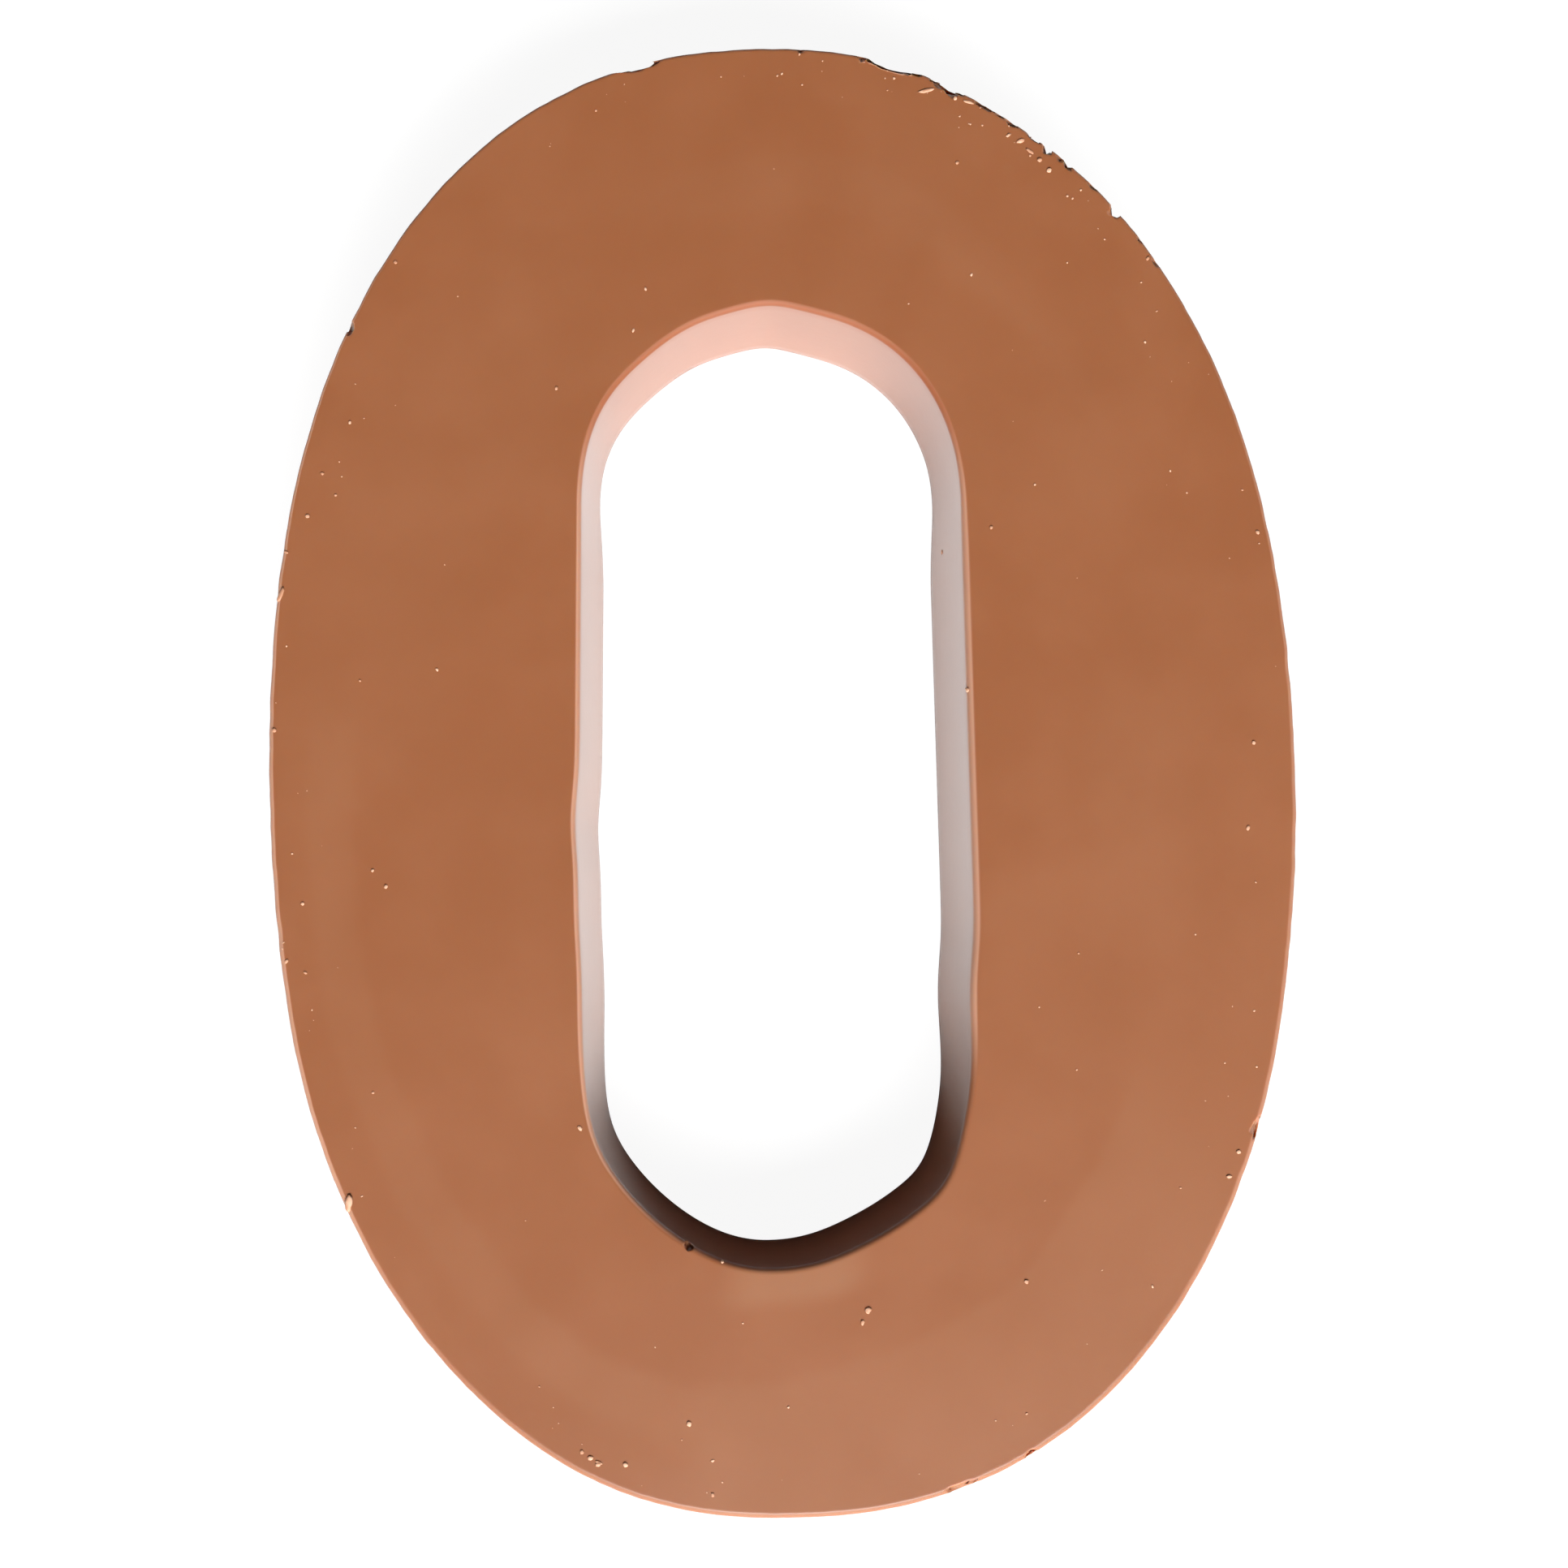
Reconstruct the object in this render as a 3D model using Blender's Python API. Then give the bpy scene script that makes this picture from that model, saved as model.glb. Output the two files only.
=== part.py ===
"""A chocolate number nought, solid milk chocolate cast in one piece in an open mould.

It lies on its poured back with the moulded face up: +X is the digit's right, +Y its top, +Z up, and the
origin is under the middle of its box. Metres.
"""

import math
import random

import bmesh
import bpy
from mathutils import Matrix, Vector

# The bar of chocolate: its thickness, the rounding of its moulded rims and the slope of its outer wall
THICKNESS = 0.0150
RIM_RADIUS = 0.0006
OVAL_DRAFT = math.radians(6.4)

# The outer edge, where the wall meets the rim: a full oval that leans to the left
OVAL_HALF_WIDTH = 0.0542
OVAL_HALF_HEIGHT = 0.0776
OVAL_FULLNESS_TOP = 2.21
OVAL_FULLNESS_BOTTOM = 2.28
OVAL_LEAN = math.radians(1.9)
OVAL_BEND = 0.00065
OVAL_POINTS = 200

# The hole: a slot with round ends, the lower end longer, that opens out a little towards the bottom
HOLE_HALF_WIDTH = 0.0207
HOLE_HALF_LENGTH = 0.0503
HOLE_TOP_RISE = 0.0208
HOLE_BOTTOM_RISE = 0.0320
HOLE_FULLNESS_TOP = 2.28
HOLE_FULLNESS_BOTTOM = 2.43
HOLE_LEAN = math.radians(0.7)
HOLE_SPREAD = 0.047
HOLE_SHIFT = (-0.0008, -0.0004)
HOLE_END_POINTS = 64
HOLE_SIDE_POINTS = 14

# The hole's wall slopes more along its sides than at its ends. Its slope changes between these two
# distances from the middle.
HOLE_SIDE_DRAFT = math.radians(8.2)
HOLE_TOP_DRAFT = math.radians(5.2)
HOLE_BOTTOM_DRAFT = math.radians(6.3)
HOLE_ENDS_BEGIN = 0.022
HOLE_ENDS_FULL = 0.038

# Where the edges stand off those clean curves: degrees round from the right, how far out of the
# outline's middle, and how many degrees it spreads
OVAL_UNEVEN = ((72, -0.00050, 9), (40, 0.00020, 14), (165, -0.00020, 16), (212, 0.00022, 9),
               (243, -0.00058, 13), (340, -0.00018, 10))
HOLE_UNEVEN = ((90.6, 0.00062, 4.2), (107, -0.00076, 7), (190, 0.00040, 12), (227, -0.00054, 9),
               (243, 0.00080, 6), (256, -0.00026, 6), (269, 0.00060, 7), (282, -0.00050, 6),
               (294, 0.00100, 5), (302, 0.00026, 6), (313, -0.00086, 8))

# Chips broken out of the rims: degrees round from the right, length along the rim, how far in, how deep
OVAL_CHIPS = ((101.5, 0.0050, 0.0007, 0.0030), (81.5, 0.0062, 0.0008, 0.0032),
              (76.5, 0.0030, 0.0007, 0.0024), (67.3, 0.0014, 0.0008, 0.0030),
              (65.3, 0.0012, 0.0006, 0.0026), (59.7, 0.0013, 0.0008, 0.0054),
              (133.6, 0.0016, 0.0006, 0.0024), (324.2, 0.0030, 0.0006, 0.0022),
              (290.5, 0.0016, 0.0005, 0.0016), (284.6, 0.0040, 0.0006, 0.0016))
HOLE_CHIPS = ((258.6, 0.0012, 0.0007, 0.0009),)
CHIP_ROUGHNESS = 0.22
CHIP_SEED = 7

# The box that levels the back reaches past the number all round
SCRAPER_MARGIN = 0.010
SCRAPER_HEIGHT = 0.010

MILK_CHOCOLATE = (0.429, 0.159, 0.071, 1.0)
SHARP_ANGLE = math.radians(35)

# Points closer than this are one point, and a face whose normal is this upright is a flat face, not a wall
WELD_DISTANCE = 0.000001
FLAT_NORMAL_Z = 0.99


def clear_scene():
    for item in list(bpy.data.objects):
        bpy.data.objects.remove(item, do_unlink=True)


def make_collection(name):
    collection = bpy.data.collections.new(name)
    bpy.context.scene.collection.children.link(collection)
    return collection


def chocolate_material():
    material = bpy.data.materials.new("milk_chocolate")
    material.use_nodes = True
    shader = material.node_tree.nodes["Principled BSDF"]
    shader.inputs["Base Color"].default_value = MILK_CHOCOLATE
    shader.inputs["Roughness"].default_value = 0.42
    shader.inputs["Metallic"].default_value = 0.0
    return material


def signed_power(value, power):
    return math.copysign(abs(value) ** power, value)


def unevenness(point, bumps):
    """How far the edge stands out at this point, as a sum of soft bumps placed by their angle."""
    angle = math.degrees(math.atan2(point.y, point.x)) % 360
    total = 0.0
    for place, height, spread in bumps:
        turn = (angle - place + 180) % 360 - 180
        total += height * math.exp(-((turn / spread) ** 2))
    return total


def pushed_out(point, bumps):
    return point + point.normalized() * unevenness(point, bumps)


def oval_outline():
    """The outer edge, counter-clockwise from the right, as a superellipse that leans and bends."""
    points = []
    for step in range(OVAL_POINTS):
        angle = 2 * math.pi * step / OVAL_POINTS
        fullness = OVAL_FULLNESS_TOP if math.sin(angle) >= 0 else OVAL_FULLNESS_BOTTOM
        x = OVAL_HALF_WIDTH * signed_power(math.cos(angle), 2 / fullness)
        y = OVAL_HALF_HEIGHT * signed_power(math.sin(angle), 2 / fullness)
        x -= OVAL_BEND * (y / OVAL_HALF_HEIGHT) ** 2
        point = Vector((x * math.cos(OVAL_LEAN) - y * math.sin(OVAL_LEAN),
                        x * math.sin(OVAL_LEAN) + y * math.cos(OVAL_LEAN), 0))
        points.append(pushed_out(point, OVAL_UNEVEN))
    return points


def hole_end(rise, fullness, side):
    """One round end of the slot, counter-clockwise: side is 1 for the top end and -1 for the bottom end."""
    points = []
    for step in range(HOLE_END_POINTS + 1):
        angle = math.pi * step / HOLE_END_POINTS
        x = side * HOLE_HALF_WIDTH * signed_power(math.cos(angle), 2 / fullness)
        y = side * (HOLE_HALF_LENGTH - rise + rise * abs(math.sin(angle)) ** (2 / fullness))
        points.append(Vector((x, y, 0)))
    return points


def straight_between(start, end, count):
    return [start.lerp(end, step / (count + 1)) for step in range(1, count + 1)]


def hole_outline():
    """The hole's edge, counter-clockwise from the foot of the right side's round end."""
    top = hole_end(HOLE_TOP_RISE, HOLE_FULLNESS_TOP, 1)
    bottom = hole_end(HOLE_BOTTOM_RISE, HOLE_FULLNESS_BOTTOM, -1)
    points = top + straight_between(top[-1], bottom[0], HOLE_SIDE_POINTS)
    points += bottom + straight_between(bottom[-1], top[0], HOLE_SIDE_POINTS)
    shaped = []
    for point in points:
        widened = point.x * (1 - HOLE_SPREAD * point.y / HOLE_HALF_LENGTH)
        leaned = Vector((widened - math.tan(HOLE_LEAN) * point.y, point.y, 0))
        shaped.append(pushed_out(leaned, HOLE_UNEVEN) + Vector((*HOLE_SHIFT, 0)))
    return shaped


def centre_of_box(points):
    xs = [point.x for point in points]
    ys = [point.y for point in points]
    return Vector(((min(xs) + max(xs)) / 2, (min(ys) + max(ys)) / 2, 0))


def add_spline(curve, points):
    spline = curve.splines.new("POLY")
    spline.points.add(len(points) - 1)
    for spline_point, point in zip(spline.points, points):
        spline_point.co = (point.x, point.y, 0, 1)
    spline.use_cyclic_u = True


def filled_outline(name, outlines, collection):
    """The outlines as one flat curve with round rims, deep enough to be levelled off at the back."""
    curve = bpy.data.curves.new(name, "CURVE")
    curve.dimensions = "2D"
    curve.fill_mode = "BOTH"
    curve.bevel_depth = RIM_RADIUS
    curve.bevel_resolution = 2
    curve.offset = -RIM_RADIUS
    curve.extrude = (THICKNESS + RIM_RADIUS) / 2 - RIM_RADIUS
    for points in outlines:
        add_spline(curve, points)
    item = bpy.data.objects.new(name, curve)
    item.location.z = (THICKNESS - RIM_RADIUS) / 2
    collection.objects.link(item)
    return item


def curve_to_mesh(curve_object, collection):
    """The same object as a mesh with its caps welded on. The curve is removed."""
    name = curve_object.name
    bpy.context.view_layer.update()
    graph = bpy.context.evaluated_depsgraph_get()
    mesh = bpy.data.meshes.new_from_object(curve_object.evaluated_get(graph))
    mesh.transform(curve_object.matrix_world)
    bpy.data.objects.remove(curve_object, do_unlink=True)
    solid = bmesh.new()
    solid.from_mesh(mesh)
    bmesh.ops.remove_doubles(solid, verts=solid.verts, dist=WELD_DISTANCE)
    bmesh.ops.recalc_face_normals(solid, faces=solid.faces)
    solid.to_mesh(mesh)
    solid.free()
    mesh.name = name
    item = bpy.data.objects.new(name, mesh)
    collection.objects.link(item)
    return item


def wall_slope(place, outward):
    """How far the wall at this place leans out of the chocolate for each metre of depth."""
    if outward.dot(place) > 0:
        return math.tan(OVAL_DRAFT)
    share = (abs(place.y) - HOLE_ENDS_BEGIN) / (HOLE_ENDS_FULL - HOLE_ENDS_BEGIN)
    share = min(max(share, 0.0), 1.0)
    end_draft = HOLE_TOP_DRAFT if place.y > 0 else HOLE_BOTTOM_DRAFT
    return math.tan(HOLE_SIDE_DRAFT + (end_draft - HOLE_SIDE_DRAFT) * share * share * (3 - 2 * share))


def slope_walls(item):
    """Leans every wall out of the chocolate towards the back, as the mould's draft does."""
    solid = bmesh.new()
    solid.from_mesh(item.data)
    moves = []
    for vertex in solid.verts:
        walls = [face.normal for face in vertex.link_faces if abs(face.normal.z) < FLAT_NORMAL_Z]
        outward = sum(walls, Vector()) * Vector((1, 1, 0))
        if outward.length > 0:
            depth = THICKNESS - vertex.co.z
            moves.append((vertex, outward.normalized() * depth * wall_slope(vertex.co, outward)))
    for vertex, move in moves:
        vertex.co += move
    solid.to_mesh(item.data)
    solid.free()


def add_cutter(name, solid, place, collection):
    """A helper that is cut out of the number and isn't part of it."""
    mesh = bpy.data.meshes.new(name)
    solid.to_mesh(mesh)
    solid.free()
    item = bpy.data.objects.new(name, mesh)
    item.matrix_world = place
    item.hide_render = True
    item.display_type = "WIRE"
    collection.objects.link(item)


def add_scraper(collection):
    """The box that levels the poured back at z = 0."""
    width = 2 * (OVAL_HALF_WIDTH + SCRAPER_MARGIN)
    length = 2 * (OVAL_HALF_HEIGHT + SCRAPER_MARGIN)
    size = Vector((width, length, SCRAPER_HEIGHT))
    solid = bmesh.new()
    bmesh.ops.create_cube(solid, size=1.0, matrix=Matrix.Diagonal(size.to_4d()))
    add_cutter("back_scraper", solid, Matrix.Translation((0, 0, -SCRAPER_HEIGHT / 2)), collection)


def rim_place(outline, degrees):
    """The point of an outline in that direction, and the turn that lays +X along the rim there."""
    direction = math.radians(degrees)
    aim = Vector((math.cos(direction), math.sin(direction), 0))
    index = max(range(len(outline)), key=lambda i: outline[i].normalized().dot(aim))
    ahead = outline[(index + 1) % len(outline)]
    behind = outline[index - 1]
    along = ahead - behind
    return outline[index], math.atan2(along.y, along.x)


def add_chips(name, outline, chips, collection):
    """A rough pebble for each chip, sunk into the rim as far as the break goes."""
    draw = random.Random(CHIP_SEED)
    for number, (degrees, length, bite, depth) in enumerate(chips):
        point, turn = rim_place(outline, degrees)
        solid = bmesh.new()
        bmesh.ops.create_icosphere(solid, subdivisions=2, radius=1.0)
        for vertex in solid.verts:
            vertex.co *= 1 + draw.uniform(-CHIP_ROUGHNESS, CHIP_ROUGHNESS)
        bmesh.ops.scale(solid, vec=(length / 2, bite, depth), verts=solid.verts)
        place = Matrix.Translation(point + Vector((0, 0, THICKNESS))) @ Matrix.Rotation(turn, 4, "Z")
        add_cutter(f"{name}_{number}", solid, place, collection)


def cut_away(item, cutters):
    cut = item.modifiers.new("scraped_and_chipped", "BOOLEAN")
    cut.operation = "DIFFERENCE"
    cut.operand_type = "COLLECTION"
    cut.collection = cutters
    cut.solver = "EXACT"


def main():
    clear_scene()
    chocolate = make_collection("chocolate_number")
    cutters = make_collection("cutters")
    oval = oval_outline()
    hole = hole_outline()
    middle = centre_of_box(oval)
    oval = [point - middle for point in oval]
    hole = [point - middle for point in hole]
    number = curve_to_mesh(filled_outline("chocolate_nought", (oval, hole), chocolate), chocolate)
    slope_walls(number)
    number.data.shade_smooth()
    number.data.set_sharp_from_angle(angle=SHARP_ANGLE)
    number.data.materials.append(chocolate_material())
    add_scraper(cutters)
    add_chips("oval_chip", oval, OVAL_CHIPS, cutters)
    add_chips("hole_chip", hole, HOLE_CHIPS, cutters)
    cut_away(number, cutters)


main()
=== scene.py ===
import math

import bmesh
import bpy
import numpy as np
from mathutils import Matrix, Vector
from mathutils.bvhtree import BVHTree


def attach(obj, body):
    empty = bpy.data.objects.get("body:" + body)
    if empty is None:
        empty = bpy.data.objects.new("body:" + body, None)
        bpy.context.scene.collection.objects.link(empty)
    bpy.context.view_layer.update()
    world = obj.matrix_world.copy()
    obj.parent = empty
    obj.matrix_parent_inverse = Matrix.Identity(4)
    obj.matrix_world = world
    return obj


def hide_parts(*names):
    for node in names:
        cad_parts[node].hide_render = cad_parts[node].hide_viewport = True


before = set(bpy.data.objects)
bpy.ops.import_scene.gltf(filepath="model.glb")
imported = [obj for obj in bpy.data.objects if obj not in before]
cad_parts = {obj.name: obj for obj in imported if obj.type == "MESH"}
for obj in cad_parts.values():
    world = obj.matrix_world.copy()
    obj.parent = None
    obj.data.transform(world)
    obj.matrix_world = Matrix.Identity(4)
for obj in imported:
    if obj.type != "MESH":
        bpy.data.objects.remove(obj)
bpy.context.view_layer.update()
mm = 0.001
print("frame loaded:", sorted(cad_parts))

# The camera looks straight down from over the number's lower left, its frame shifted onto the number
camera = {
    "foot": (-11.96 * mm, -19.50 * mm),
    "height": 306.0 * mm,
    "lens": 63.3,
    "sensor": 36,
    "shift": (0.0730, 0.1174),
    "clipStart": 10 * mm,
}

# The casting. Edge places are degrees round from the right. The outlines are the ones that the solid has.
cast = {
    "thickness": 15.0 * mm,
    "ovalDraft": math.radians(6.4),
    # the hole's draft along its sides, at its top end and at its bottom end
    "holeDraft": (math.radians(8.2), math.radians(5.2), math.radians(6.3)),
    # rounding where the face meets the outer wall, at the bottom and at the top, and where it changes
    "ovalRim": (0.60 * mm, 0.32 * mm),
    "ovalRimChange": (-20 * mm, 60 * mm),
    # and where it meets the hole's wall, at the left and, wider, at the right
    "holeRim": (0.60 * mm, 0.85 * mm),
    "holeRimChange": (0, 15 * mm),
    "backEdge": 0.30 * mm,
}
oval = {
    "halfWidth": 54.2 * mm,
    "halfHeight": 77.6 * mm,
    "fullness": (2.21, 2.28),      # at the top and at the bottom
    "lean": math.radians(1.9),
    "bend": 0.65 * mm,
    # degrees, millimetres outwards, degrees wide
    "uneven": ((72, -0.50, 9), (40, 0.20, 14), (165, -0.20, 16), (212, 0.22, 9), (243, -0.58, 13),
               (340, -0.18, 10)),
    # degrees, then length, bite and depth in millimetres
    "topChips": ((101.5, 5.0, 0.7, 3.0), (81.5, 6.2, 0.8, 3.2), (76.5, 3.0, 0.7, 2.4),
                 (67.3, 1.4, 0.8, 3.0), (65.3, 1.2, 0.6, 2.6), (59.7, 1.3, 0.8, 5.4)),
    "sideChips": ((133.6, 1.6, 0.6, 2.4), (324.2, 3.0, 0.6, 2.2), (290.5, 1.6, 0.5, 1.6),
                  (284.6, 4.0, 0.6, 1.6)),
}
hole = {
    "halfWidth": 20.7 * mm,
    "halfLength": 50.3 * mm,
    "rise": (20.8 * mm, 32.0 * mm),
    "fullness": (2.28, 2.43),
    "lean": math.radians(0.7),
    "spread": 0.047,
    "shift": (-0.8 * mm, -0.4 * mm),
    "uneven": ((90.6, 0.62, 4.2), (107, -0.76, 7), (190, 0.40, 12), (227, -0.54, 9), (243, 0.80, 6),
               (256, -0.26, 6), (269, 0.60, 7), (282, -0.50, 6), (294, 1.00, 5), (302, 0.26, 6),
               (313, -0.86, 8)),
    "ends": (22 * mm, 38 * mm),    # how far from the middle the steeper ends begin, and are full
    "chips": ((258.6, 1.2, 0.7, 0.9),),
}
# The rings of points that its skin is laid out in
layout = {
    "around": 1000,                # points round each ring
    "fineSteps": 6000,             # points that an outline is worked out with
    "rimRows": 9,
    "wallRows": 12,
    "backEdgeRows": 4,
    "back": (19, 0.20),            # rings across a flat side, and how much they crowd towards its edges
    "face": (34, 0.80),
    "closerAt": (76, 24, 1.4),     # where points stand closer: degrees, degrees wide, how much closer
    "closerAtChip": (3.0, 1.2),    # and the last two at each chip elsewhere
}


def signedPower(value, power):
    return np.sign(value) * np.abs(value) ** power


def pushedOut(loop, uneven):
    angle = np.degrees(np.arctan2(loop[:, 1], loop[:, 0]))
    reach = np.linalg.norm(loop, axis=1)
    push = np.zeros(len(loop))
    for place, height, spread in uneven:
        turn = (angle - place + 180) % 360 - 180
        push += height * mm * np.exp(-((turn / spread) ** 2))
    return loop * (1 + push / reach)[:, None]


def ovalLoop():
    turn = np.linspace(0, 2 * np.pi, layout["fineSteps"], endpoint=False)
    fullness = np.where(np.sin(turn) >= 0, *oval["fullness"])
    x = oval["halfWidth"] * signedPower(np.cos(turn), 2 / fullness)
    y = oval["halfHeight"] * signedPower(np.sin(turn), 2 / fullness)
    x = x - oval["bend"] * (y / oval["halfHeight"]) ** 2
    c, s = math.cos(oval["lean"]), math.sin(oval["lean"])
    return pushedOut(np.column_stack((x * c - y * s, x * s + y * c)), oval["uneven"])


def holeEnd(which, side):
    turn = np.linspace(0, np.pi, layout["fineSteps"] // 4)
    rise, fullness = hole["rise"][which], hole["fullness"][which]
    x = side * hole["halfWidth"] * signedPower(np.cos(turn), 2 / fullness)
    y = side * (hole["halfLength"] - rise + rise * np.sin(turn).clip(0) ** (2 / fullness))
    return np.column_stack((x, y))


def holeLoop():
    top, bottom = holeEnd(0, 1), holeEnd(1, -1)
    share = np.linspace(0, 1, layout["fineSteps"] // 8)[1:-1, None]
    left = top[-1] + (bottom[0] - top[-1]) * share
    right = bottom[-1] + (top[0] - bottom[-1]) * share
    loop = np.vstack((right[len(right) // 2:], top, left, bottom, right[:len(right) // 2]))
    x = loop[:, 0] * (1 - hole["spread"] * loop[:, 1] / hole["halfLength"])
    x = x - math.tan(hole["lean"]) * loop[:, 1]
    return pushedOut(np.column_stack((x, loop[:, 1])), hole["uneven"]) + np.array(hole["shift"])


# Points are spread along a loop by its length, and closer together where the rim is broken
def spreadAlong(loop, count):
    angle = np.degrees(np.arctan2(loop[:, 1], loop[:, 0])) % 360
    place, spread, closer = layout["closerAt"]
    weight = 1 + closer * np.exp(-((angle - place) / spread) ** 2)
    spread, closer = layout["closerAtChip"]
    for place, *_ in oval["sideChips"] + hole["chips"]:
        weight = weight + closer * np.exp(-((angle - place) / spread) ** 2)
    closed = np.vstack((loop, loop[:1]))
    step = np.linalg.norm(np.diff(closed, axis=0), axis=1) * weight
    reach = np.concatenate(([0], np.cumsum(step)))
    places = np.linspace(0, reach[-1], count, endpoint=False)
    return np.column_stack([np.interp(places, reach, closed[:, axis]) for axis in (0, 1)])


def outwards(loop):
    ahead = np.roll(loop, -1, axis=0) - np.roll(loop, 1, axis=0)
    ahead /= np.linalg.norm(ahead, axis=1)[:, None]
    return np.column_stack((ahead[:, 1], -ahead[:, 0]))


# Smooth noise: many sine waves of about one length in all directions, near -2 to 2
def rolling(x, y, length, seed, waves=28, variety=(0.6, 1.5)):
    draw = np.random.default_rng(seed)
    total = np.zeros(np.shape(x))
    for _ in range(waves):
        heading, phase = draw.uniform(0, 2 * np.pi, 2)
        pitch = 2 * np.pi / (length * draw.uniform(*variety))
        total += np.sin(pitch * (x * math.cos(heading) + y * math.sin(heading)) + phase)
    return total / math.sqrt(waves / 2)


def smooth(value, low, high):
    share = np.clip((value - low) / (high - low), 0, 1)
    return share * share * (3 - 2 * share)


# One side of the casting from the face's edge down to the back's: how far out of the loop, and how deep.
# The wall's slope comes on top of this.
def sideProfile(rim):
    thickness, foot = cast["thickness"], cast["backEdge"]
    profile = []
    for turn in np.linspace(0, np.pi / 2, layout["rimRows"]):
        profile.append((rim * (math.sin(turn) - 1), rim * (1 - math.cos(turn))))
    for depth in np.linspace(rim, thickness - foot, layout["wallRows"])[1:]:
        profile.append((0, depth))
    for turn in np.linspace(0, np.pi / 2, layout["backEdgeRows"])[1:]:
        profile.append((-foot * (1 - math.cos(turn)), thickness - foot * (1 - math.sin(turn))))
    return profile


# Shares of the way across a flat side, closer together near both of its edges
def acrossShares(count, crowding):
    even = np.linspace(0, 1, count + 2)[1:-1]
    return even - crowding * np.sin(2 * np.pi * even) / (2 * np.pi)


def castRings():
    middle = ovalLoop()
    middle = (middle.min(0) + middle.max(0)) / 2
    outer = spreadAlong(ovalLoop() - middle, layout["around"])
    inner = spreadAlong(holeLoop() - middle, layout["around"])
    outerWay, innerWay = outwards(outer), -outwards(inner)
    ends = smooth(np.abs(inner[:, 1]), *hole["ends"])
    sideDraft, topDraft, bottomDraft = cast["holeDraft"]
    endDraft = np.where(inner[:, 1] > 0, topDraft, bottomDraft)
    innerSlope = np.tan(sideDraft + (endDraft - sideDraft) * ends)[:, None]
    outerSlope = math.tan(cast["ovalDraft"])
    rings = []

    def ring(flat, depth):
        rings.append(np.column_stack((flat, np.full((len(flat), 1), cast["thickness"]) - depth)))

    bottomRim, topRim = cast["ovalRim"]
    topness = smooth(outer[:, 1:], *cast["ovalRimChange"])
    for out, depth in sideProfile(bottomRim + (topRim - bottomRim) * topness):
        ring(outer + outerWay * (out + depth * outerSlope), depth)
    leftRim, rightRim = cast["holeRim"]
    rightness = (smooth(inner[:, 0], *cast["holeRimChange"]) * (1 - ends))[:, None]
    innerSide = sideProfile(leftRim + (rightRim - leftRim) * rightness)
    out, depth = innerSide[-1]
    backOuter, backInner = rings[-1][:, :2], inner + innerWay * (out + depth * innerSlope)
    for share in acrossShares(*layout["back"]):
        ring(backOuter + (backInner - backOuter) * share, cast["thickness"])
    for out, depth in reversed(innerSide):
        ring(inner + innerWay * (out + depth * innerSlope), depth)
    faceInner, faceOuter = rings[-1][:, :2], rings[0][:, :2]
    for share in acrossShares(*layout["face"]):
        ring(faceInner + (faceOuter - faceInner) * share, 0)
    return np.array(rings), outer, inner


wear = {
    "faceFrom": 0.6,               # share of the thickness above which the face's waver fades in
    "waver": 0.035 * mm,           # how far the moulded face stands off a true plane
    "waverWaves": ((30 * mm, 0.60), (11 * mm, 0.24)),    # lengths and strengths
    "ragged": 0.018 * mm,          # how far the outer rim strays from a clean line
    "raggedWaves": ((5 * mm, 1.0), (1.8 * mm, 0.5)),
    "rimFrom": (0.955, 0.99),      # shares of the way out where the straying begins, and is full
    "scrape": 0.10 * mm,           # depth of the knife's marks on the poured back
    "scrapeTo": 0.3 * mm,          # height up to which they reach
    "scrapeRim": (1.03, 0.99),     # shares of the way out where they begin, and are full
    "markLength": 3.5 * mm,
    "markStretch": 0.15,           # how much slower the marks change along x
    "pitLength": 4 * mm,
    "pitDepth": 1.2,               # beside the marks
    "pitRarity": 1.2,
}
# A chip is a rough pebble's shape: how rough, how long its lumps are beside its half size, how far out it
# is felt, how its noise is slanted, and the least reach that is divided by
pebble = {"roughness": 0.16, "lumpLength": 1.3, "touches": 1.4, "slant": (3, -2), "least": 1e-6}
# The small nicks of the ragged stretch at the top right: degrees and their spread, then millimetres
nicks = {"count": 36, "place": (74, 9), "length": (0.5, 1.6), "bite": (0.30, 0.50), "depth": (0.5, 1.0)}
seeds = {"waver": 3, "ragged": 5, "marks": 8, "pits": 9, "nicks": 12, "ovalChips": 20, "holeChips": 60,
         "nickShapes": 100}


# Rolling noise of several lengths on top of each other
def layered(x, y, waves, seed):
    total = 0
    for number, (length, strength) in enumerate(waves):
        total = total + strength * rolling(x, y, length, seed + number)
    return total


# Pushes what is inside a rough pebble out to its skin, which leaves a broken-off chip in the rim
def chipOut(points, loop, chip, seed):
    degrees, length, bite, depth = chip
    aim = np.array((math.cos(math.radians(degrees)), math.sin(math.radians(degrees))))
    index = int(np.argmax((loop / np.linalg.norm(loop, axis=1)[:, None]) @ aim))
    along = loop[(index + 1) % len(loop)] - loop[index - 1]
    along = np.array((*(along / np.linalg.norm(along)), 0))
    across = np.array((along[1], -along[0], 0))
    axes = np.vstack((along, across, (0, 0, 1)))
    centre = np.array((*loop[index], cast["thickness"]))
    half = np.array((length / 2, bite, depth)) * mm
    local = (points - centre) @ axes.T / half
    reach = np.linalg.norm(local, axis=-1)
    near = reach < pebble["touches"]
    reach = np.maximum(reach[near], pebble["least"])
    way = local[near] / reach[:, None]
    slanted = way[:, :2] + way[:, 2:] * np.array(pebble["slant"])
    lumps = rolling(slanted[:, 0], slanted[:, 1], pebble["lumpLength"], seed)
    stretch = np.maximum(1, (1 + pebble["roughness"] * lumps) / reach)
    points[near] = centre + (local[near] * stretch[:, None] * half) @ axes


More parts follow.
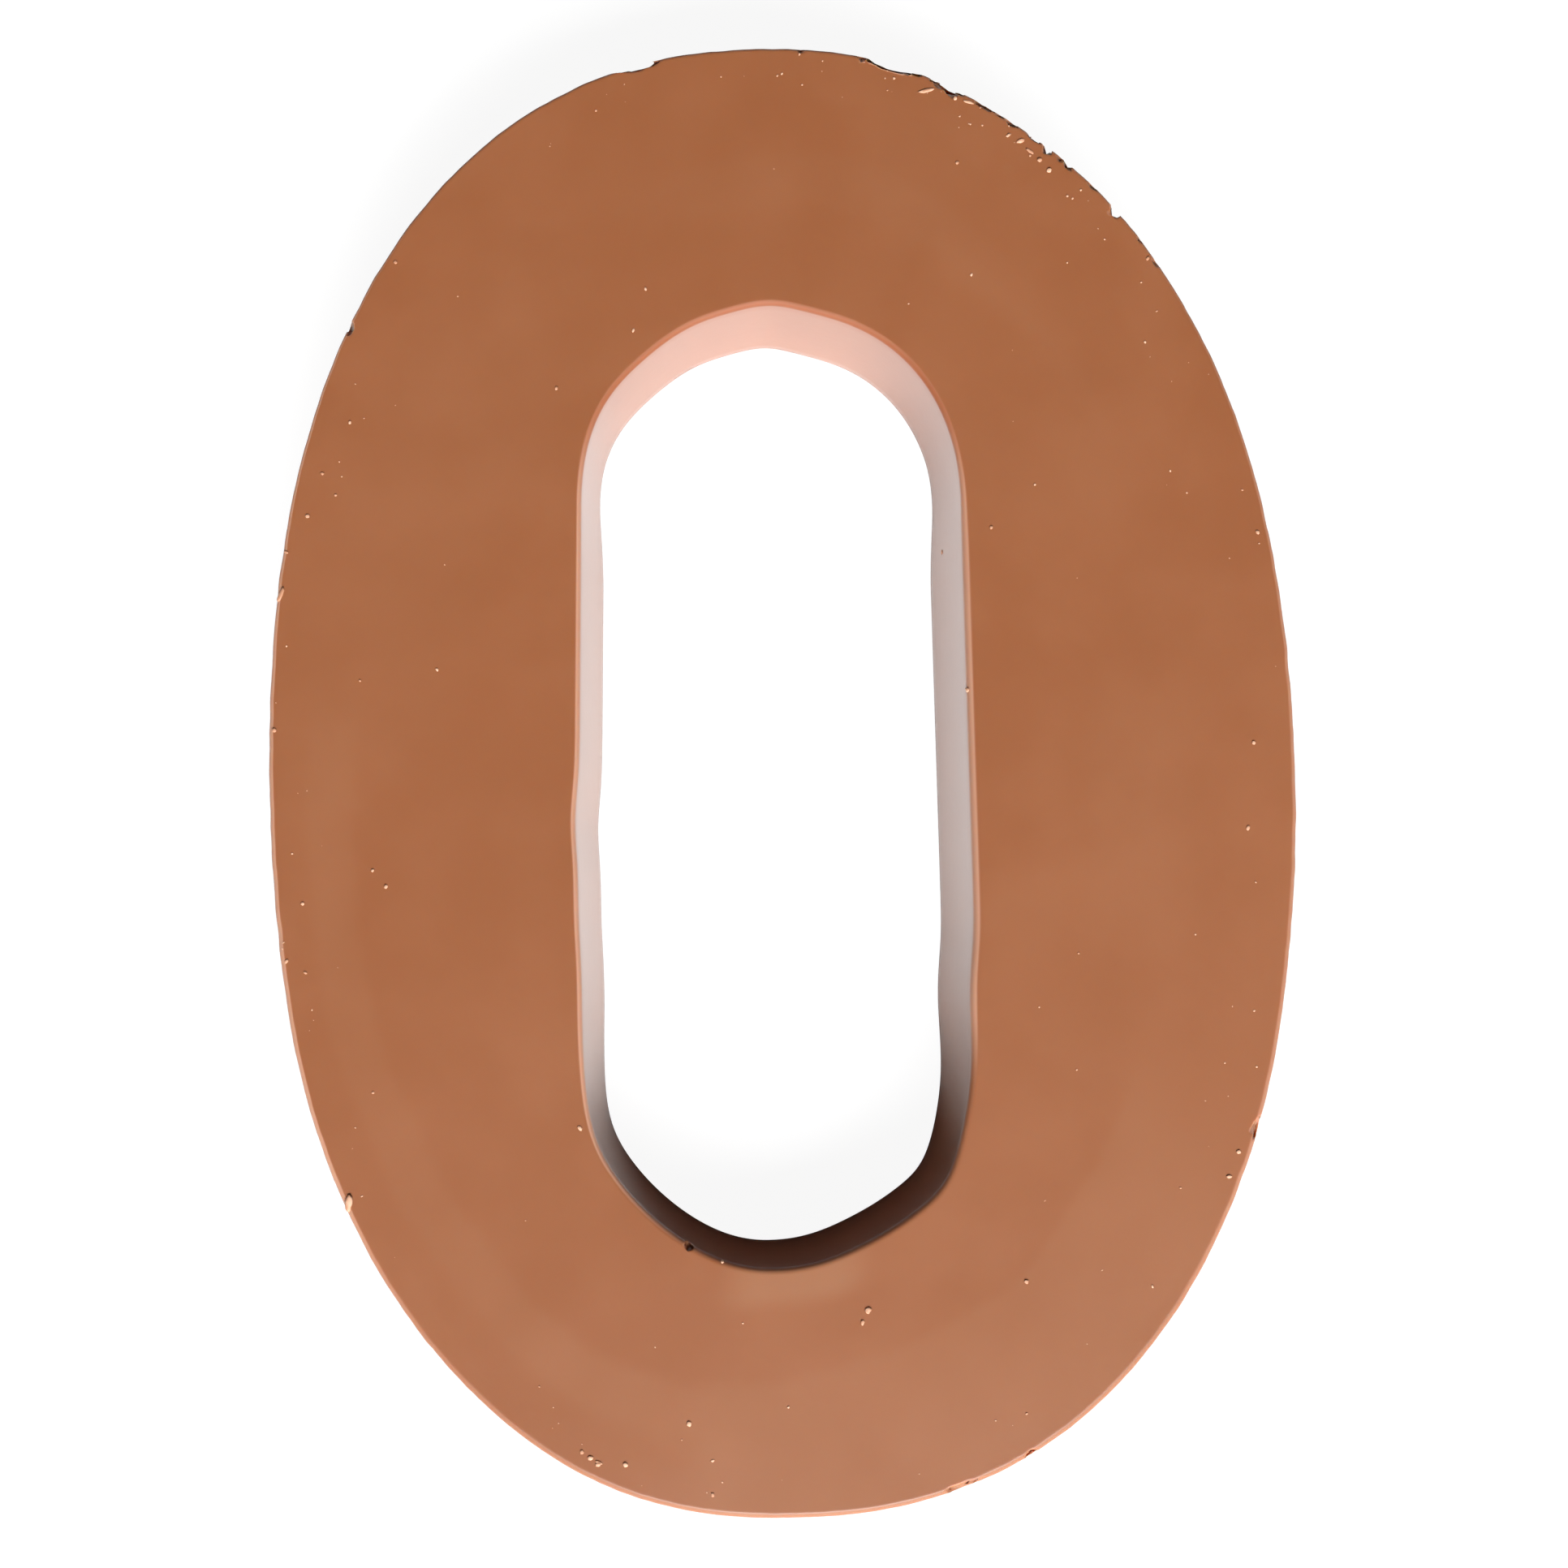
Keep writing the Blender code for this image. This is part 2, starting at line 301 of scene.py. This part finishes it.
def wearCasting(rings, outer, inner):
    x, y, z = rings[..., 0], rings[..., 1], rings[..., 2]
    high = smooth(z, wear["faceFrom"] * cast["thickness"], cast["thickness"])
    low = 1 - smooth(z, 0, wear["scrapeTo"])
    # the face's faint waver, and the rim's straying line
    z += wear["waver"] * high * (layered(x, y, wear["waverWaves"], seeds["waver"]) - 1)
    radius = np.hypot(x, y)
    wayOut = radius / np.hypot(*outer.T)[None, :]
    stray = wear["ragged"] * layered(x, y, wear["raggedWaves"], seeds["ragged"])
    stray = stray * smooth(wayOut, *wear["rimFrom"]) * high
    x -= stray * x / radius
    y -= stray * y / radius
    # long knife marks and small pits on the poured back, all of them upwards
    marks = np.clip(rolling(x * wear["markStretch"], y, wear["markLength"], seeds["marks"]), 0, 2)
    pits = np.clip(rolling(x, y, wear["pitLength"], seeds["pits"]) - wear["pitRarity"], 0, 1)
    marks = marks + wear["pitDepth"] * pits
    z += wear["scrape"] * low * marks * smooth(wayOut, *wear["scrapeRim"])
    for number, chip in enumerate(oval["topChips"] + oval["sideChips"]):
        chipOut(rings, outer, chip, seeds["ovalChips"] + number)
    for number, chip in enumerate(hole["chips"]):
        chipOut(rings, inner, chip, seeds["holeChips"] + number)
    draw = np.random.default_rng(seeds["nicks"])
    for number in range(nicks["count"]):
        place = draw.normal(*nicks["place"])
        size = [draw.uniform(*nicks[measure]) for measure in ("length", "bite", "depth")]
        chipOut(rings, outer, (place, *size), seeds["nickShapes"] + number)


def meshFrom(name, points, faces):
    mesh = bpy.data.meshes.new(name)
    mesh.from_pydata([tuple(point) for point in points], [], faces)
    mesh.validate()
    mesh.shade_smooth()
    piece = bpy.data.objects.new(name, mesh)
    bpy.context.scene.collection.objects.link(piece)
    return piece


def makeCasting():
    rings, outer, inner = castRings()
    wearCasting(rings, outer, inner)
    count, around = rings.shape[:2]
    faces = []
    for row in range(count):
        here, below = row * around, (row + 1) % count * around
        for step in range(around):
            onward = (step + 1) % around
            faces.append((here + step, below + step, below + onward, here + onward))
    return meshFrom("chocolate_casting", rings.reshape(-1, 3), faces)


casting = makeCasting()
print("casting made:", len(casting.data.polygons), "faces")

# Crumbs of the same chocolate. All of their sizes are in millimetres.
crumbs = {
    # place on the face, and length
    "places": (
        (12.0, 75.3, 0.4), (18.2, 72.3, 0.5), (21.5, 71.1, 0.4), (23.8, 68.4, 0.6), (18.4, 65.5, 0.4),
        (27.1, 65.8, 0.6), (28.1, 64.7, 0.6), (35.1, 60.2, 0.4), (38.5, 55.4, 0.5), (-52.4, 24.4, 0.5),
        (-53.7, 5.6, 0.5), (-21.2, -70.6, 0.5), (-20.3, -71.2, 0.6), (-19.5, -71.9, 0.6),
        (-16.6, -71.9, 0.6), (-9.9, -67.6, 0.6), (-7.4, -71.5, 0.4), (-7.4, -75.1, 0.5),
        (50.1, 26.5, 0.5), (49.7, 4.3, 0.5), (49.1, -4.7, 0.6), (47.1, -41.5, 0.6), (48.1, -38.9, 0.5),
        (-40.9, 55.0, 0.4), (19.9, 53.7, 0.4), (-14.5, 52.2, 0.4), (-15.8, 47.8, 0.5),
        (-23.9, 41.7, 0.4), (-45.7, 38.1, 0.4), (-48.6, 32.7, 0.4), (-50.2, 28.2, 0.5),
        (22.0, 27.0, 0.4), (-36.5, 12.0, 0.4), (-43.3, -9.2, 0.4), (-41.9, -10.9, 0.5),
        (-50.7, -12.7, 0.4), (-50.4, -20.0, 0.4), (-52.4, -18.8, 0.5), (-21.4, -36.4, 0.6),
        (9.0, -55.6, 0.8), (8.4, -56.9, 0.6), (25.7, -52.6, 0.5), (39.0, -53.1, 0.4),
        (-6.4, -50.5, 0.4), (19.5, 9.9, 0.6), (16.8, 24.4, 0.5),
    ),
    "width": (0.55, 0.95),         # as a share of the length
    # flakes: place, length, width, and degrees that they are turned
    "flakes": ((15.1, 73.1, 1.7, 0.42, 13), (19.6, 71.9, 1.2, 0.32, -18), (25.1, 67.8, 0.9, 0.42, 22),
               (26.1, 66.7, 1.0, 0.32, -35), (-53.0, 19.9, 1.6, 0.48, 66), (-45.8, -44.3, 1.8, 0.80, 87),
               (-51.9, 36.6, 0.8, 0.30, 70), (-19.4, -71.7, 0.8, 0.35, -30)),
    "fine": 120,                   # how many more, smaller ones
    "fineLength": (0.10, 0.30),
    "fineWidth": (0.6, 1.0),
    "fineStretch": (66, 16),       # one in three is near here: degrees, and their spread
    "fineInwards": 26,             # one in four is up to this far in from the rim
    "fineRim": 2.5,                # and the others about this far
    "squash": 0.42,
    "roughness": 0.20,
    "sunk": 0.10,                  # share of its width that is pressed into the chocolate
    "lowest": 2 * mm,              # none lies lower than this
    "seed": 31,
}


def crumbShape():
    ball = bmesh.new()
    bmesh.ops.create_icosphere(ball, subdivisions=2, radius=0.5)
    points = np.array([vertex.co for vertex in ball.verts])
    faces = [tuple(vertex.index for vertex in face.verts) for face in ball.faces]
    ball.free()
    return points, faces


def crumbSpots(draw):
    spots = []
    for x, y, length in crumbs["places"]:
        spots.append((x, y, length, length * draw.uniform(*crumbs["width"]), draw.uniform(0, 180)))
    spots += crumbs["flakes"]
    for number in range(crumbs["fine"]):
        degrees = draw.normal(*crumbs["fineStretch"]) if number % 3 == 0 else draw.uniform(0, 360)
        aim = (math.cos(math.radians(degrees)), math.sin(math.radians(degrees)))
        edge = 1 / math.hypot(aim[0] / oval["halfWidth"], aim[1] / oval["halfHeight"]) / mm
        if number % 4 == 1:
            reach = edge - draw.uniform(0, crumbs["fineInwards"])
        else:
            reach = edge - abs(draw.normal(0, crumbs["fineRim"]))
        length = draw.uniform(*crumbs["fineLength"])
        width = length * draw.uniform(*crumbs["fineWidth"])
        spots.append((aim[0] * reach, aim[1] * reach, length, width, draw.uniform(0, 180)))
    return spots


# Each crumb lies where the camera would see its place on the face
def makeCrumbs():
    draw = np.random.default_rng(crumbs["seed"])
    shape, shapeFaces = crumbShape()
    skin = BVHTree.FromObject(casting, bpy.context.evaluated_depsgraph_get())
    eye = Vector((*camera["foot"], camera["height"]))
    points, faces = [], []
    for x, y, length, width, degrees in crumbSpots(draw):
        aim = (Vector((x * mm, y * mm, cast["thickness"])) - eye).normalized()
        place, normal, _, _ = skin.ray_cast(eye, aim)
        if place is None or place.z < crumbs["lowest"]:
            continue
        turn = Vector((0, 0, 1)).rotation_difference(normal).to_matrix()
        c, s = math.cos(math.radians(degrees)), math.sin(math.radians(degrees))
        height = width * crumbs["squash"]
        lumps = shape * (1 + draw.uniform(-1, 1, (len(shape), 1)) * crumbs["roughness"])
        lumps = lumps * np.array((length, width, height)) * mm
        lumps = lumps @ np.array(((c, s, 0), (-s, c, 0), (0, 0, 1)))
        lift = normal * (0.5 * height - crumbs["sunk"] * width) * mm
        lumps = lumps @ np.array(turn).T + np.array(place + lift)
        start = len(points) * len(shape)
        points.append(lumps)
        faces += [tuple(start + index for index in face) for face in shapeFaces]
    print("crumbs made:", len(points))
    return meshFrom("chocolate_crumbs", np.vstack(points), faces)


scatter = makeCrumbs()


# A socket that sums can be done on
class Wire:
    def __init__(self, board, socket):
        self.board = board
        self.socket = socket

    def maths(self, operation, *values):
        return self.board.node("ShaderNodeMath", {"operation": operation}, dict(enumerate(values)))

    def __add__(self, other):
        return self.maths("ADD", self, other)

    def __sub__(self, other):
        return self.maths("SUBTRACT", self, other)

    def __rsub__(self, other):
        return self.maths("SUBTRACT", other, self)

    def __mul__(self, other):
        return self.maths("MULTIPLY", self, other)

    def __truediv__(self, other):
        return self.maths("DIVIDE", self, other)

    def __pow__(self, other):
        return self.maths("POWER", self, other)

    __radd__ = __add__
    __rmul__ = __mul__

    def size(self):
        return self.maths("ABSOLUTE", self)

    def between(self, low, high):
        settings = {"interpolation_type": "SMOOTHSTEP"}
        sockets = {"Value": self, "From Min": low, "From Max": high}
        return self.board.node("ShaderNodeMapRange", settings, sockets)


# The node tree of a material or a world
class Board:
    def __init__(self, owner):
        self.owner = owner
        self.owner.use_nodes = True
        self.tree = owner.node_tree
        self.tree.nodes.clear()

    def node(self, kind, settings=None, sockets=None, output=0):
        made = self.tree.nodes.new(kind)
        for key, value in (settings or {}).items():
            setattr(made, key, value)
        for key, value in (sockets or {}).items():
            if isinstance(value, Wire):
                self.tree.links.new(value.socket, made.inputs[key])
            else:
                made.inputs[key].default_value = value
        return Wire(self, made.outputs[output]) if made.outputs else None

    def blend(self, share, first, second):
        return self.node("ShaderNodeMix", {"data_type": "RGBA"}, {0: share, 6: first, 7: second}, 2)

    def noise(self, place, scale, detail):
        return self.node("ShaderNodeTexNoise", {}, {"Vector": place, "Scale": scale, "Detail": detail})

    def layeredNoise(self, place, layers):
        return sum(self.noise(place, scale, detail) * strength for scale, detail, strength in layers)

    def finish(self, shader, kind="ShaderNodeOutputMaterial"):
        self.node(kind, {}, {"Surface": shader})
        return self.owner


def rgb(red, green, blue):
    return (red, green, blue, 1.0)


chocolate = {
    "deep": rgb(0.224, 0.0772, 0.0290),
    "plain": rgb(0.239, 0.0866, 0.0352),
    "haze": rgb(0.262, 0.1120, 0.0540),
    # painted highlight: the paler colour that the rims are given
    "rim": rgb(0.400, 0.2050, 0.1300),
    # painted shade on the hole's upper edge, which faces the key, in the orange of a painted glow of light
    "edge": rgb(0.235, 0.0700, 0.0230),    # the hole's upper edge, where light comes through
    # painted shade: the darker colour of the hole's wall at its bottom, and weaker at its top
    "shade": rgb(0.185, 0.0520, 0.0180),   # the hole's wall at its bottom
    "topShade": 0.35,              # and how much of that is at its top
    "clouds": ((120.0, 3.0, 0.5), (30.0, 2.0, 0.5)),     # noise: scales, details and strengths
    "cloudRange": (0.35, 0.65),
    "hazing": 0.36,                # how strong the haze is where a band's strength is 1
    "glow": 0.35,                  # share of light that travels under the skin, its colour and how far
    "glowColour": (1.0, 0.35, 0.12),
    "glowReach": 1.2 * mm,
    "faceRoughness": 0.36,
    "rimRoughness": 0.66,
    "wallRoughness": 0.30,
    "bending": 1.46,
    "wallCoat": 0.66,
    "coatRoughness": 0.20,
    "coatBending": 1.9,
    "grain": 0.012 * mm,
    "grainStrength": 0.5,
    "grains": ((2600.0, 3.0, 0.6), (700.0, 2.0, 1.0)),
}
# The oval on the face within which the chocolate let go of the mould last, in millimetres, and the warp of
# its edge
release = {
    "centre": (-1.3, -1.7),
    "half": (43.5, 61.8),
    "warpNoise": (60.0, 3.0),      # scale and detail
    "warp": 0.09,
    "warpRound": 0.25,             # share of the warp that the bands' ends have
}
# Bands round it: from and to as shares of the oval, their edge's softness, degrees round, half the spread
# and its softness, and strength
paleBands = (
    (1.00, 1.45, 0.015, 296, 35, 4, 0.72), (1.02, 1.13, 0.020, 215, 42, 8, 0.55),
    (1.02, 1.45, 0.020, 258, 16, 10, 0.35), (1.02, 1.10, 0.015, 80, 24, 8, 0.30),
    (1.00, 1.05, 0.020, 52, 14, 6, 0.35), (0.90, 0.99, 0.030, 38, 5, 4, 0.30),
    (0.80, 1.18, 0.080, 148, 24, 10, 0.28), (0.78, 1.02, 0.060, 357, 10, 5, 0.38),
    (1.04, 1.26, 0.040, 73, 6, 4, 0.35), (0.55, 0.74, 0.030, 343, 4, 3, 0.30),
    (0.79, 0.87, 0.020, 274, 9, 5, 2.20), (1.05, 1.30, 0.030, 183, 10, 6, 0.22),
)
darkBands = (
    (0.94, 1.22, 0.040, 104, 8, 6, 0.45), (1.08, 1.20, 0.020, 56, 16, 6, 0.40),
    (1.14, 1.20, 0.015, 84, 5, 3, 0.55), (0.70, 1.00, 0.060, 336, 5, 3, 0.35),
    (0.80, 0.99, 0.040, 228, 22, 10, 0.25), (0.87, 0.99, 0.020, 95, 40, 12, 0.30),
    (1.15, 1.20, 0.010, 248, 26, 8, 0.30), (0.62, 0.90, 0.060, 180, 24, 10, 0.18),
)
# Between which two places each stretch of the number fades in or out, in millimetres
stretches = {
    "outer": (1.0, 1.1),           # in shares of the release oval instead
    "right": (-20, -5),            # across the number
    "farLeft": (-53, -36),
    "farRight": (38, 52),
    "high": (28, 42),              # up it
    "low": (-26, -8),
    "lower": (-33, -23),
    "bottom": (-46, -36),
    "underRim": (14.75, 14.98),    # above its back
}
# And at which share of its normal that is upright: the wall, and the rim at its top and its foot
facing = {"wall": (0.3, 0.85), "rimTop": (0.93, 0.998), "rimFoot": (0.10, 0.40)}
# A painted highlight on the rims, most of all the outer one's left, and the hole's sides and lower left
rimHighlight = {"outer": 1.20, "farRight": 0.25, "sideways": 2.2, "sidewaysRange": (0.1, 1.0)}
# The wall's gloss is that of the hole's left side, and more or less than that elsewhere
gloss = {
    "left": 0.45,
    "right": 0.43,
    "high": -0.20,
    "highRight": -0.23,
    "lowRight": -0.42,
    "lowerLeft": 0.50,
    "bottomRight": -0.38,
    "outerLoss": 0.65,             # share of it that the outer wall lacks
}


# The sum of some bands. Their place round the oval is across and along, and how far out share.
def bandSum(bands, across, along, share, warp):
    total = 0.0
    warped = share + warp
    for start, end, soft, degrees, spread, fade, strength in bands:
        aim = math.radians(degrees)
        turned = (across * math.cos(aim) + along * math.sin(aim)) / share + warp * release["warpRound"]
        wide, narrow = [math.cos(math.radians(max(spread + turn, 0))) for turn in (fade, -fade)]
        band = warped.between(start - soft, start + soft) * (1 - warped.between(end - soft, end + soft))
        total = band * turned.between(wide, narrow) * strength + total
    return total


def chocolateMaterial():
    board = Board(bpy.data.materials.new("milk_chocolate_cast"))
    place = board.node("ShaderNodeTexCoord", output="Object")
    normal = board.node("ShaderNodeTexCoord", output="Normal")
    x, y, z = [board.node("ShaderNodeSeparateXYZ", {}, {0: place}, axis) / mm for axis in range(3)]
    sideways, upright = [board.node("ShaderNodeSeparateXYZ", {}, {0: normal}, axis) for axis in (0, 2)]
    wall = 1 - upright.size().between(*facing["wall"])
    rim = (1 - upright.between(*facing["rimTop"])) * upright.between(*facing["rimFoot"])
    # cloudy brown, with haze and darker bands round the hole
    cloud = board.layeredNoise(place, chocolate["clouds"])
    warp = (board.noise(place, *release["warpNoise"]) - 0.5) * release["warp"]
    spans = zip((x, y), release["centre"], release["half"])
    across, along = [(axis - centre) / half for axis, centre, half in spans]
    share = (across ** 2 + along ** 2) ** 0.5
    pale, dark = [bandSum(bands, across, along, share, warp) for bands in (paleBands, darkBands)]
    colour = board.blend(cloud.between(*chocolate["cloudRange"]), chocolate["deep"], chocolate["plain"])
    colour = board.blend(dark, colour, chocolate["deep"])
    colour = board.blend(pale * (1 - wall) * chocolate["hazing"], colour, chocolate["haze"])
    # rims paler by a painted highlight; hole's upper edge and its wall's bottom and top deeper by painted
    # shade
    outer = share.between(*stretches["outer"])
    right, high = x.between(*stretches["right"]), y.between(*stretches["high"])
    low, lower, bottom = [1 - y.between(*stretches[name]) for name in ("low", "lower", "bottom")]
    # how strongly each part of the rims gets the painted highlight
    highlighted = rimHighlight["outer"] - x.between(*stretches["farLeft"])
    highlighted = outer * (highlighted + x.between(*stretches["farRight"]) * rimHighlight["farRight"])
    aside = (sideways.size() * rimHighlight["sideways"]).between(*rimHighlight["sidewaysRange"])
    highlighted = highlighted + (1 - outer) * (1 - lower * right) * aside
    colour = board.blend(rim * highlighted, colour, chocolate["rim"])
    # painted shade and painted glow of light coming through, on the hole's upper edge
    colour = board.blend(rim * high * (1 - outer), colour, chocolate["edge"])
    # painted shade on the hole's wall at its bottom and, weaker, at its top
    shaded = wall * (bottom + high * chocolate["topShade"]) * (1 - outer)
    colour = board.blend(shaded, colour, chocolate["shade"])
    # the coat that the mould gave the walls
    coat = gloss["left"] + right * gloss["right"] + high * (right * gloss["highRight"] + gloss["high"])
    coat = coat + low * right * gloss["lowRight"] + lower * (1 - right) * gloss["lowerLeft"]
    coat = coat + bottom * right * gloss["bottomRight"]
    coat = coat * (1 - z.between(*stretches["underRim"])) * (1 - outer * gloss["outerLoss"])
    faceRoughness = chocolate["faceRoughness"]
    roughness = wall * (chocolate["wallRoughness"] - faceRoughness) + faceRoughness
    roughness = rim * (chocolate["rimRoughness"] - faceRoughness) + roughness
    bump = board.node("ShaderNodeBump", {}, {
        "Strength": chocolate["grainStrength"],
        "Distance": chocolate["grain"],
        "Height": board.layeredNoise(place, chocolate["grains"]),
    })
    shader = board.node("ShaderNodeBsdfPrincipled", {}, {
        "Base Color": colour,
        "Roughness": roughness,
        "IOR": chocolate["bending"],
        "Coat Weight": wall * coat * chocolate["wallCoat"],
        "Coat Roughness": chocolate["coatRoughness"],
        "Coat IOR": chocolate["coatBending"],
        "Subsurface Weight": chocolate["glow"],
        "Subsurface Radius": chocolate["glowColour"],
        "Subsurface Scale": chocolate["glowReach"],
        "Normal": bump,
    })
    return board.finish(shader)


crumbFinish = {
    "dark": rgb(0.40, 0.185, 0.10),
    "light": rgb(0.56, 0.33, 0.215),
    "tintNoise": (900.0, 2.0),
    "tintRange": (0.35, 0.65),
    "roughness": 0.6,
}


def crumbMaterial():
    board = Board(bpy.data.materials.new("milk_chocolate_crumbs"))
    place = board.node("ShaderNodeTexCoord", output="Object")
    tint = board.noise(place, *crumbFinish["tintNoise"]).between(*crumbFinish["tintRange"])
    colour = board.blend(tint, crumbFinish["dark"], crumbFinish["light"])
    sockets = {"Base Color": colour, "Roughness": crumbFinish["roughness"]}
    return board.finish(board.node("ShaderNodeBsdfPrincipled", {}, sockets))


casting.data.materials.append(chocolateMaterial())
scatter.data.materials.append(crumbMaterial())
for piece in (casting, scatter):
    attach(piece, "root")
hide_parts("chocolate_nought")
print("finishes made")

# The floor's shade is lightened where it is looked at, and left as it is where the chocolate mirrors it
floor = {
    "halfWidth": 6.0,
    "drop": 0.02 * mm,
    "colour": rgb(0.86, 0.86, 0.86),
    "roughness": 0.7,
    "glowColour": rgb(1.0, 1.0, 1.0),
    "glow": 1.05,
    "lightened": 0.88,
}


def makeFloor():
    half, level = floor["halfWidth"], -floor["drop"]
    corners = [(-half, -half, level), (half, -half, level), (half, half, level), (-half, half, level)]
    ground = meshFrom("pale_floor", corners, [(0, 1, 2, 3)])
    board = Board(bpy.data.materials.new("pale_floor"))
    sockets = {"Base Color": floor["colour"], "Roughness": floor["roughness"]}
    matt = board.node("ShaderNodeBsdfPrincipled", {}, sockets)
    glow = board.node("ShaderNodeEmission", {}, {"Color": floor["glowColour"], "Strength": floor["glow"]})
    seen = board.node("ShaderNodeLightPath") * floor["lightened"]
    shown = board.node("ShaderNodeMixShader", {}, {0: seen, 1: matt, 2: glow})
    ground.data.materials.append(board.finish(shown))


# Softboxes: the way each stands from the number, how high, how far, how wide and tall, and how strong
lights = {
    "key": (-80, 43, 2.20, (1.60, 1.20), 146.0),
    "left": (180, 48, 1.20, (0.80, 0.80), 0.2),
    "right": (0, 48, 1.20, (0.80, 0.80), 0.2),
}
ambient = {"Color": rgb(1.0, 0.78, 0.64), "Strength": 0.04}
# Seen above the floor's far edge. It gives no light.
backdrop = {"Color": rgb(1.0, 1.0, 1.0), "Strength": 0.96}


def makeLights():
    for name, (azimuth, elevation, distance, size, power) in lights.items():
        lamp = bpy.data.lights.new(name, "AREA")
        lamp.shape = "RECTANGLE"
        lamp.size, lamp.size_y = size
        lamp.energy = power
        light = bpy.data.objects.new(name, lamp)
        across, up = math.radians(azimuth), math.radians(elevation)
        aim = Vector((math.cos(across) * math.cos(up), math.sin(across) * math.cos(up), math.sin(up)))
        light.location = aim * distance
        light.rotation_euler = aim.to_track_quat("Z", "Y").to_euler()
        bpy.context.scene.collection.objects.link(light)
    board = Board(bpy.data.worlds.new("studio"))
    around, behind = [board.node("ShaderNodeBackground", {}, glow) for glow in (ambient, backdrop)]
    seen = board.node("ShaderNodeLightPath")
    shown = board.node("ShaderNodeMixShader", {}, {0: seen, 1: around, 2: behind})
    bpy.context.scene.world = board.finish(shown, "ShaderNodeOutputWorld")


def makeCamera():
    lens = bpy.data.cameras.new("camera")
    lens.sensor_width = camera["sensor"]
    lens.lens = camera["lens"]
    lens.shift_x, lens.shift_y = camera["shift"]
    lens.clip_start = camera["clipStart"]
    eye = bpy.data.objects.new("camera", lens)
    eye.location = (*camera["foot"], camera["height"])
    bpy.context.scene.collection.objects.link(eye)
    bpy.context.scene.camera = eye


makeFloor()
makeLights()
makeCamera()
bpy.context.scene.view_settings.view_transform = "Standard"
print("stage, lights and camera made")
